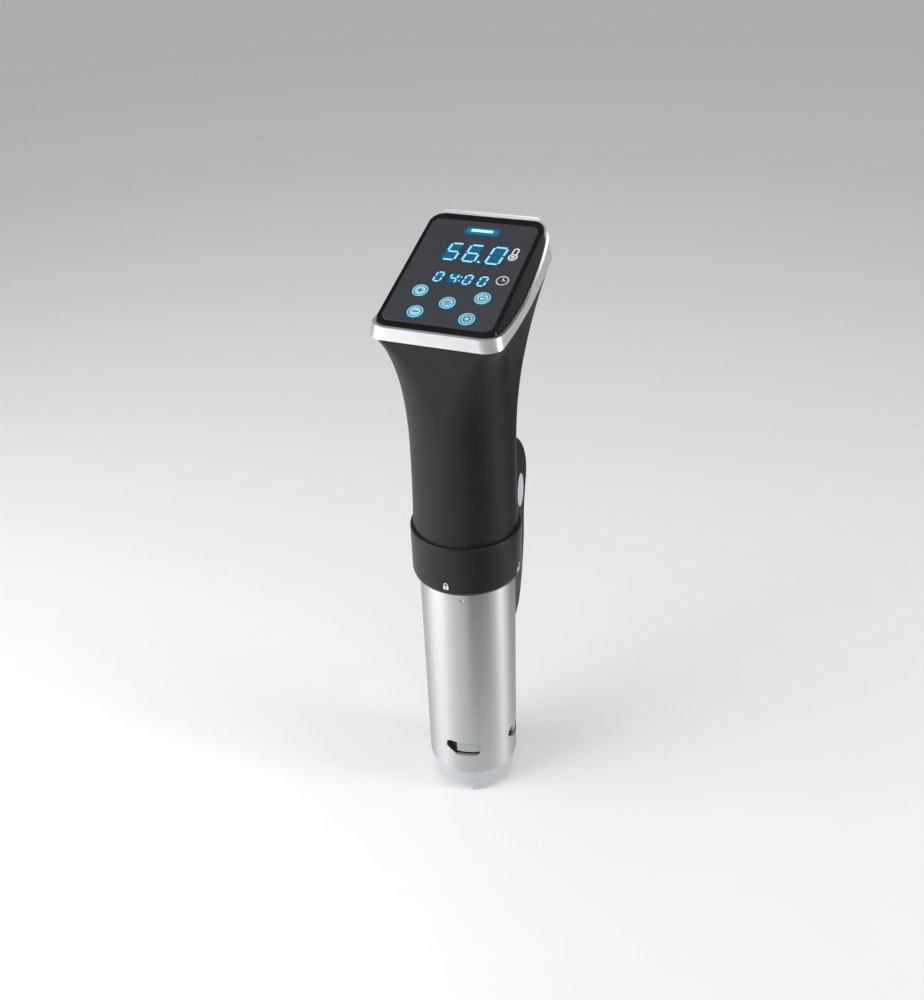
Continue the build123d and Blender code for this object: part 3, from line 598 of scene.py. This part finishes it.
def digit(sign, x, y, wide, high, bar, lean):
    """One seven-bar digit whose lower left bar end stands at x, y."""
    made = []
    for name in DIGIT_BARS[sign]:
        across, up, upright = BARS[name]
        long = high / 2 if upright else wide
        piece = flat_bar(
            long - bar * 0.1,
            bar,
            THICK,
            x + across * wide,
            y + up * high,
            LOW,
            UPRIGHT if upright else 0.0,
            bar * 0.55,
        )
        made.append(settle(piece, leaning(lean, y)))
    return made


temperature = []
for sign, x, wide in (("5", -14.5, 6.8), ("6", -3.2, 7.2), ("0", 10.4, 7.6)):
    temperature += digit(sign, x, 8.5, wide, 13.3, 1.15, 7.0)
temperature.append(flat_disc(0.75, THICK, 6.6, 8.9, LOW, 20))
join_as("temperature_digits", temperature, digit_light, panel_place)

clock_digits = []
for sign, x in (("0", -13.5), ("4", -5.0), ("0", 3.3), ("0", 11.8)):
    clock_digits += digit(sign, x, -9.1, 3.9, 7.0, 0.9, 8.0)
for up in (-7.2, -4.0):
    colon_x = 0.9 + (up + 9.1) * 0.14
    clock_digits.append(flat_disc(0.5, THICK, colon_x, up, LOW, 16))
join_as("time_digits", clock_digits, digit_light, panel_place)

# %% [markdown]
# ## The glow on the lens
#
# Light spills through the smoked lens as a soft teal patch round each lit
# shape. A separate film under the shapes does this: a thin plate whose teal
# fades out to nothing. The fade is the distance to the nearest patch, worked
# out from Object coordinates, and it drives Alpha. A patch is written as its
# middle, its half width and half height, how far it fades, how strong it is,
# and how many degrees it leans.

# %% Glow films
def glow_finish(name, colour, strength, patches):
    """Teal that fades to clear outside each leaning, rounded patch (millimetres)."""
    film = Finish(name, (0.004, 0.012, 0.016), 0.3)
    laid = {
        "Vector": film.place(),
        "Location": PANEL_MIDDLE,
        "Rotation": (PANEL_TILT, 0, 0),
    }
    flat = film.node("ShaderNodeMapping", {"vector_type": "TEXTURE"}, laid)
    x, y, _ = film.split(flat)
    total = None
    for middle_x, middle_y, half_x, half_y, soft, peak, lean in patches:
        up = y - middle_y * MM
        across = x - middle_x * MM - up * math.tan(math.radians(lean))
        out_x = (across.math("ABSOLUTE") - half_x * MM).math("MAXIMUM", 0.0)
        out_y = (up.math("ABSOLUTE") - half_y * MM).math("MAXIMUM", 0.0)
        distance = (out_x * out_x + out_y * out_y).math("SQRT")
        fade = film.node(
            "ShaderNodeMapRange",
            {"interpolation_type": "SMOOTHSTEP"},
            {0: distance, 1: 0.0, 2: soft * MM, 3: peak, 4: 0.0},
        )
        total = fade if total is None else total.math("MAXIMUM", fade)
    film.feed("Emission Color", film.blend(total, shade(colour, 0.6), shade(colour)))
    film.feed("Emission Strength", strength)
    film.feed("Specular IOR Level", 0.25)
    film.feed("Alpha", total)
    return film.material


LEAN_ROOM = 0.15  # how far a leaning patch reaches sideways, per half height
FILM_THICK, FILM_LOW = 0.03, 0.015


def glow(name, colour, strength, patches):
    """One film just over the lens, large enough for the fade of all its patches."""
    reach = [
        (x, y, half_x + soft + half_y * LEAN_ROOM, half_y + soft)
        for x, y, half_x, half_y, soft, _, _ in patches
    ]
    low_x, high_x = min(p[0] - p[2] for p in reach), max(p[0] + p[2] for p in reach)
    low_y, high_y = min(p[1] - p[3] for p in reach), max(p[1] + p[3] for p in reach)
    middle = (low_x + high_x) / 2, (low_y + high_y) / 2
    plate = flat_bar(high_x - low_x, high_y - low_y, FILM_THICK, *middle, FILM_LOW)
    join_as(name, [plate], glow_finish(name, colour, strength, patches), panel_place)


TEAL = rgb(0, 104, 146)
glow(
    "temperature_glow",
    TEAL,
    0.7,
    [
        (-11.1, 15.2, 2.4, 5.6, 3.2, 1.0, 7.0),
        (0.6, 15.2, 2.6, 5.6, 3.2, 1.0, 7.0),
        (14.4, 15.2, 2.8, 5.6, 3.2, 1.0, 7.0),
        (7.2, 9.0, 0.3, 0.3, 2.6, 0.9, 0.0),
    ],
)
glow(
    "time_glow",
    TEAL,
    0.7,
    [(x, -5.6, 1.2, 2.6, 2.6, 1.0, 8.0) for x in (-11.3, -2.8, 5.5, 14.0)]
    + [(1.2, -5.6, 0.2, 1.5, 1.8, 0.9, 8.0)],
)
glow("bar_glow", rgb(0, 116, 156), 1.1, [(0.2, 33.4, 7.6, 0.5, 3.9, 1.0, 0.0)])

# %% [markdown]
# ## The light bar
#
# A long bar that glows almost white, set in the middle of its own patch of
# glow. It is the widest single light on the panel, so it gets a brighter finish
# than the digits.

# %% The light bar
bar = flat_bar(12.6, 1.9, 0.14, 0.1, 33.8, LOW)
join_as("light_bar_face", [bar], bar_light, panel_place)

# %% [markdown]
# ## Touch spots
#
# Five round spots: a thin bright ring, a dark teal gap, and a bright disc with
# its sign dark on it. The disc glows, and the sign is a thin dark shape on top
# of it, as a print would be.

# %% Touch spots
SPOTS = {
    "plus": (-17.3, -17.5),
    "minus": (-14.0, -33.4),
    "stir": (1.0, -24.4),
    "power": (18.6, -18.0),
    "gear": (15.6, -34.3),
}
glow("spot_glow", TEAL, 0.85, [(x, y, 2.4, 2.4, 3.6, 0.85, 0.0) for x, y in SPOTS.values()])
for name, (x, y) in SPOTS.items():
    lit_parts = [
        flat_ring(4.4, 3.75, THICK, x, y, LOW),
        flat_disc(3.1, THICK, x, y, LOW),
    ]
    join_as("spot_" + name, lit_parts, mark_light, panel_place)


# %% Their signs
SIGN_THICK, SIGN_LOW = 0.06, 0.19
EIGHTH = math.pi / 4
TOOTH_R = 2.05


def stroke(length, width, x, y, turn=0.0):
    return flat_bar(length, width, SIGN_THICK, x, y, SIGN_LOW, turn)


def sign_plus(x, y):
    return [stroke(3.4, 0.8, x, y), stroke(3.4, 0.8, x, y, UPRIGHT)]


def sign_minus(x, y):
    return [stroke(3.4, 0.9, x, y)]


def sign_stir(x, y):
    """Slanting strokes: stirred water."""
    return [
        stroke(length, 0.55, x + shift, y - shift * 0.5, math.radians(58))
        for shift, length in ((-1.5, 2.0), (-0.5, 4.2), (0.5, 4.2), (1.5, 2.0))
    ]


def sign_power(x, y):
    """An open ring with a stroke in its gap."""
    ring = flat_ring(2.1, 1.45, SIGN_THICK, x, y - 0.2, SIGN_LOW, sweep=270, start=135)
    return [ring, stroke(2.3, 0.7, x, y + 1.2, UPRIGHT)]


def sign_gear(x, y):
    """A ring with eight teeth."""
    teeth = []
    for k in range(8):
        turn = k * EIGHTH
        tooth_x, tooth_y = x + TOOTH_R * math.cos(turn), y + TOOTH_R * math.sin(turn)
        teeth.append(stroke(1.1, 0.75, tooth_x, tooth_y, turn))
    return teeth + [flat_ring(1.9, 1.2, SIGN_THICK, x, y, SIGN_LOW)]


SIGNS = {
    "plus": sign_plus,
    "minus": sign_minus,
    "stir": sign_stir,
    "power": sign_power,
    "gear": sign_gear,
}
for name, draw in SIGNS.items():
    x, y = SPOTS[name]
    join_as("sign_" + name, draw(x, y), plastic["icon_dark"], panel_place)

# %% [markdown]
# ## The thermometer and the clock face
#
# Two white outlines to the right of the digits. The thermometer is a ring with
# a filled bulb in it, two side strokes and a rounded top; the clock is a ring
# with two hands.

# %% Thermometer and clock
x, y = 24.2, 15.2
thermometer = [
    flat_ring(2.7, 1.75, THICK, x, y, LOW),
    flat_disc(1.15, THICK, x, y, LOW, 24),
    flat_bar(3.6, 0.85, THICK, x - 1.35, y + 4.0, LOW, UPRIGHT),
    flat_bar(3.6, 0.85, THICK, x + 1.35, y + 4.0, LOW, UPRIGHT),
    flat_ring(1.78, 0.93, THICK, x, y + 5.6, LOW, sweep=180),
]
thermometer = [settle(piece, leaning(4.0, y)) for piece in thermometer]
join_as("thermometer_mark", thermometer, plastic["print_white"], panel_place)

x, y = 24.7, -3.4
clock_mark = [
    flat_ring(3.55, 2.95, THICK, x, y, LOW),
    flat_bar(2.6, 0.5, THICK, x, y + 1.1, LOW, UPRIGHT),
    flat_bar(2.0, 0.5, THICK, x + 0.85, y, LOW),
]
join_as("clock_mark", clock_mark, plastic["print_white"], panel_place)

# %% [markdown]
# ## Padlocks on the collar
#
# Two small white padlocks show which way the sleeve locks: a closed one at the
# front and an open one on the right. Each is drawn flat and then stood against
# the collar. It is only 3.4 mm wide, so instead of being bent round the wall it
# is set a tenth of a millimetre into it.

# %% Padlocks
COLLAR_R, MARK_LIFT = 34.1, 0.03


def on_collar(degrees, z):
    """From flat work to the collar's wall at this angle from the front."""
    turned = math.radians(degrees)
    out = Vector((math.sin(turned), -math.cos(turned), 0))
    across = Vector((math.cos(turned), math.sin(turned), 0))
    place = Matrix((across, (0, 0, 1), out)).transposed().to_4x4()
    place.translation = out * (COLLAR_R + MARK_LIFT) * MM + Vector((0, 0, z * MM))
    return place


def padlock(name, degrees, z, open_by):
    """A closed padlock, or an open one whose shackle is moved aside on one leg."""
    sunk = -0.1
    pieces = [
        flat_bar(3.4, 2.5, THICK, 0, 0, sunk),
        flat_ring(1.45, 0.85, THICK, open_by, 2.0, sunk, sweep=180),
        flat_bar(1.0, 0.6, THICK, open_by - 1.15, 1.6, sunk, UPRIGHT),
    ]
    if not open_by:
        pieces.append(flat_bar(1.0, 0.6, THICK, 1.15, 1.6, sunk, UPRIGHT))
    keyhole = flat_disc(0.45, 0.05, 0, 0.1, 0.03, 16)
    place = on_collar(degrees, z)
    join_as(name, pieces, plastic["print_white"], place)
    join_as(name + "_keyhole", [keyhole], collar_black, place)


padlock("padlock_closed", 0.0, 178.6, 0.0)
padlock("padlock_open", 89.0, 178.0, 2.1)

# %% [markdown]
# ## The camera
#
# An ordinary lens from the front right and well above, so that the panel faces
# it and the sleeve tapers away. The camera is also turned about two degrees
# about its own axis.

# %% Camera
CAMERA_TURN, CAMERA_FAR = math.radians(23.41), 0.6328
lift, roll = math.radians(32.11), math.radians(-2.16)
ahead = Vector((math.sin(CAMERA_TURN), -math.cos(CAMERA_TURN), 0))
back = ahead * math.cos(lift) + Vector((0, 0, math.sin(lift)))
side = (-back).cross(Vector((0, 0, 1))).normalized()
rise = side.cross(-back)
right = math.cos(roll) * side + math.sin(roll) * rise
up = -math.sin(roll) * side + math.cos(roll) * rise
aim = side * -0.001862 + Vector((0, 0, 0.22073))
stand = aim + back * CAMERA_FAR
lens = bpy.data.cameras.new("camera")
lens.lens = 37.71
lens.sensor_width = 36.0
lens.clip_start = 0.01
camera = bpy.data.objects.new("camera", lens)
bpy.context.collection.objects.link(camera)
facing = Matrix((right, up, back)).transposed().to_4x4()
camera.matrix_world = Matrix.Translation(stand) @ facing
bpy.context.scene.camera = camera
print("camera stands at", [round(c, 3) for c in stand])

# %% [markdown]
# ## Studio
#
# A pale floor, a pale surround, and soft boxes. A cylinder of brushed metal
# shows the room as upright stripes: a large box on the left gives the wide
# bright stripe, a narrow one on the right gives the thin one, and the dark
# stripe between them is the gap. The floor glows a little, so that it stays
# pale where the boxes don't reach. It also rides on the sleeve's body, so when
# the sleeve is pulled down off the heater, the floor goes down under it.

# %% Floor and lights
bpy.ops.object.select_all(action="DESELECT")
bpy.ops.mesh.primitive_plane_add(size=40.0, location=(0, 0, 0))
floor = bpy.context.active_object
floor.name = "floor"
paper = Finish("floor_paper", (0.7, 0.7, 0.7), 0.8)
speck = paper.noise(30.0, 3.0)
paper.feed("Base Color", paper.blend(speck, (0.69, 0.69, 0.695, 1), (0.71, 0.71, 0.715, 1)))
paper.feed("Specular IOR Level", 0.1)
paper.feed("Emission Color", paper.blend(speck, (0.99, 0.99, 1.0, 1), (1.0, 1.0, 1.0, 1)))
paper.feed("Emission Strength", 0.2)
floor.data.materials.append(paper.material)
floor.parent = frame["bodies"]["sleeve_set"]


def soft_box(name, place, target, width, height, power):
    """A rectangular soft light that faces its target."""
    lamp = bpy.data.lights.new(name, "AREA")
    lamp.shape = "RECTANGLE"
    lamp.size = width
    lamp.size_y = height
    lamp.energy = power
    holder = bpy.data.objects.new(name, lamp)
    bpy.context.collection.objects.link(holder)
    direction = Vector(target) - Vector(place)
    facing = direction.to_track_quat("-Z", "Y").to_matrix().to_4x4()
    holder.matrix_world = Matrix.Translation(place) @ facing


SLEEVE_MIDDLE = (0, 0, 0.15)
soft_box("key_left", (-0.85, -0.65, 0.50), SLEEVE_MIDDLE, 0.8, 0.95, 9.0)
soft_box("strip_right", (1.0, 0.12, 0.50), SLEEVE_MIDDLE, 0.22, 0.95, 5.0)
soft_box("pool", (-0.32, -0.50, 0.45), (-0.32, -0.50, 0.0), 0.35, 0.35, 1.6)
soft_box("overhead", (0.0, -0.1, 1.5), (0, 0, 0.3), 0.9, 0.9, 6.0)

# %% [markdown]
# ## Two black cards
#
# Polished and brushed metal only looks like metal when part of what it mirrors
# is dark. One black card lies on the floor in front and to the right, and puts
# the dark stripe into the steel; the other lies behind and darkens the right
# side of the rim. Both are hidden from the camera, cast no shadow and take no
# bounced light away, so only their reflections show.

# %% The cards
velvet = Finish("card_velvet", (0.01, 0.01, 0.01), 0.95)
velvet.feed("Specular IOR Level", 0.0)
velvet.feed("Roughness", velvet.spread(velvet.noise(400.0, 2.0), 0.9, 1.0))
CARD_HEIGHT = 0.004
for name, x, y, wide, long in (
    ("card_front", 0.40, -0.345, 0.50, 0.60),
    ("card_back", 0.30, 0.46, 0.44, 0.50),
):
    bpy.ops.object.select_all(action="DESELECT")
    bpy.ops.mesh.primitive_plane_add(size=1.0, location=(0, 0, 0))
    card = bpy.context.active_object
    card.name = name
    settle(
        card,
        Matrix.Translation((x, y, CARD_HEIGHT))
        @ Matrix.Rotation(CAMERA_TURN, 4, "Z")
        @ Matrix.Diagonal((wide, long, 1, 1)),
    )
    card.data.materials.append(velvet.material)
    card.visible_camera = False
    card.visible_shadow = False
    card.visible_diffuse = False

# %% [markdown]
# ## The surround
#
# An even white surround fills the shadows.

# %% The surround
world = bpy.data.worlds.new("surround")
bpy.context.scene.world = world
world.use_nodes = True
surround = world.node_tree.nodes["Background"].inputs
surround["Color"].default_value = (1.0, 1.0, 1.0, 1)
surround["Strength"].default_value = 0.30
bpy.context.scene.view_settings.view_transform = "Standard"
print("studio ready")
